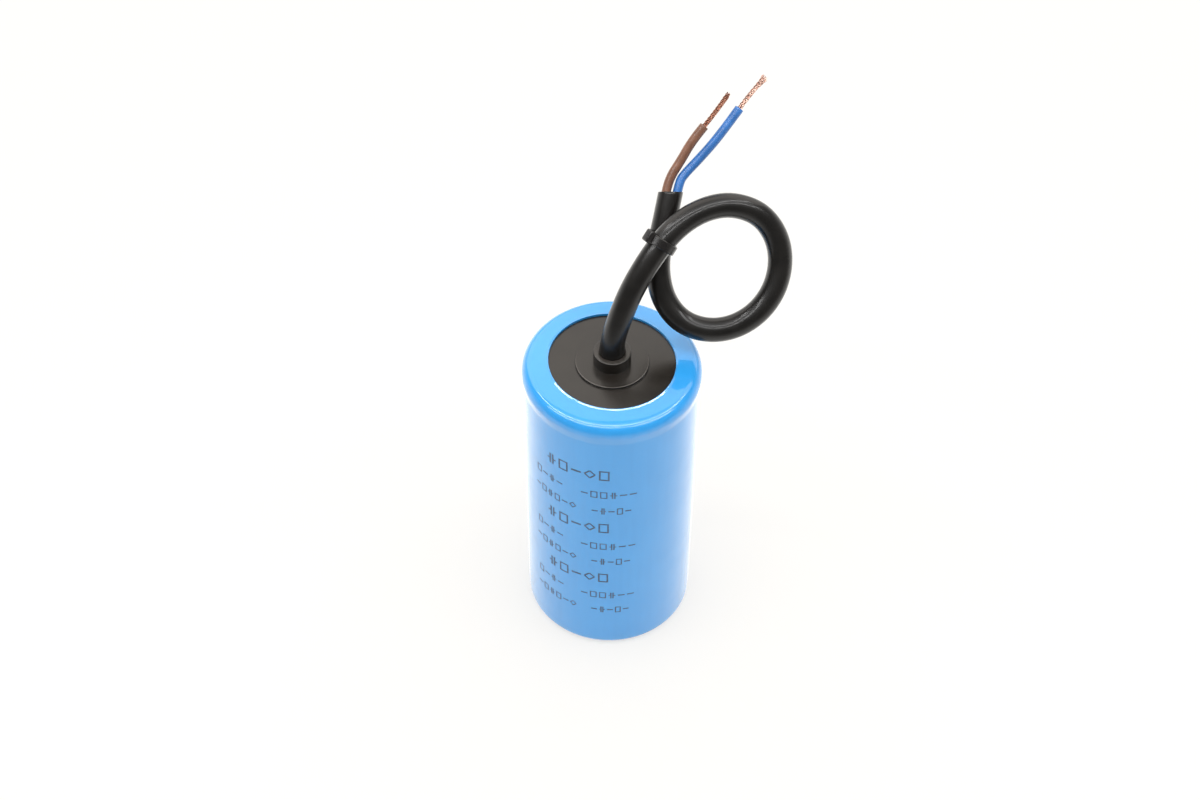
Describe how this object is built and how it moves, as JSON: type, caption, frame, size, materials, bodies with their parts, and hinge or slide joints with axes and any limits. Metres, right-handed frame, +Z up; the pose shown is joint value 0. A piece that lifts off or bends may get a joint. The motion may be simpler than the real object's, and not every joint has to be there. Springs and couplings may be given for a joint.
{
  "type": "motor start capacitor",
  "caption": "Round aluminium-can motor start capacitor in a blue shrunk sleeve, with a dark moulded cover and a looped two-core lead tied on itself.",
  "frame": {"origin": "middle of the base, on the surface that the can stands on", "axes": "+Z up along the can's axis towards the cable gland; the terminals lie on X, brown on -X and blue on +X; +Y is the side that the lead leans to"},
  "size_m": [0.0748, 0.0744, 0.1639],
  "materials": {
    "sleeve_film": "shrunk film, glossy, mid blue with a small printed rating panel of plain marks",
    "base_board": "pressed fibre board, dull",
    "can_metal": "drawn, slightly brushed",
    "inner_moulding": "natural polypropylene",
    "foil_and_paper": "wound foil and soaked paper, fine rings on the ends",
    "wrap_film": "clear adhesive tape over brown paper",
    "phenolic_board": "laminated board, satin",
    "seal_rubber": "matt",
    "vent_rubber": "matt",
    "cover_resin": "moulded, satin dark grey",
    "cable_jacket": "soft PVC, satin",
    "tie_nylon": "moulded nylon, slightly glossy",
    "terminal_metal": "bright",
    "plated_steel": "tin plated",
    "solder": "bright, flowed",
    "brown_insulation": "extruded PVC, semi gloss",
    "blue_insulation": "extruded PVC, semi gloss",
    "copper_strand": "twisted bare copper strands"
  },
  "bodies": {
    "root": {"shrink_sleeve": "sleeve_film", "base_disc": "base_board", "can": "can_metal", "bottom_cup": "inner_moulding", "winding": "foil_and_paper", "winding_wrap": "wrap_film", "hold_down": "inner_moulding", "sealing_disc": "phenolic_board", "seal_ring": "seal_rubber", "vent_plug": "vent_rubber", "cover": "cover_resin", "cable_sheath": "cable_jacket", "cable_tie": "tie_nylon", "inner_tie": "tie_nylon", "tab_brown": "terminal_metal", "rivet_brown": "terminal_metal", "lower_washer_brown": "terminal_metal", "upper_washer_brown": "plated_steel", "tag_brown": "plated_steel", "tail_brown": "brown_insulation", "solder_brown": "solder", "core_brown": "brown_insulation", "copper_brown": "copper_strand", "tab_blue": "terminal_metal", "rivet_blue": "terminal_metal", "lower_washer_blue": "terminal_metal", "upper_washer_blue": "plated_steel", "tag_blue": "plated_steel", "tail_blue": "blue_insulation", "solder_blue": "solder", "core_blue": "blue_insulation", "copper_blue": "copper_strand"}
  },
  "joints": []
}
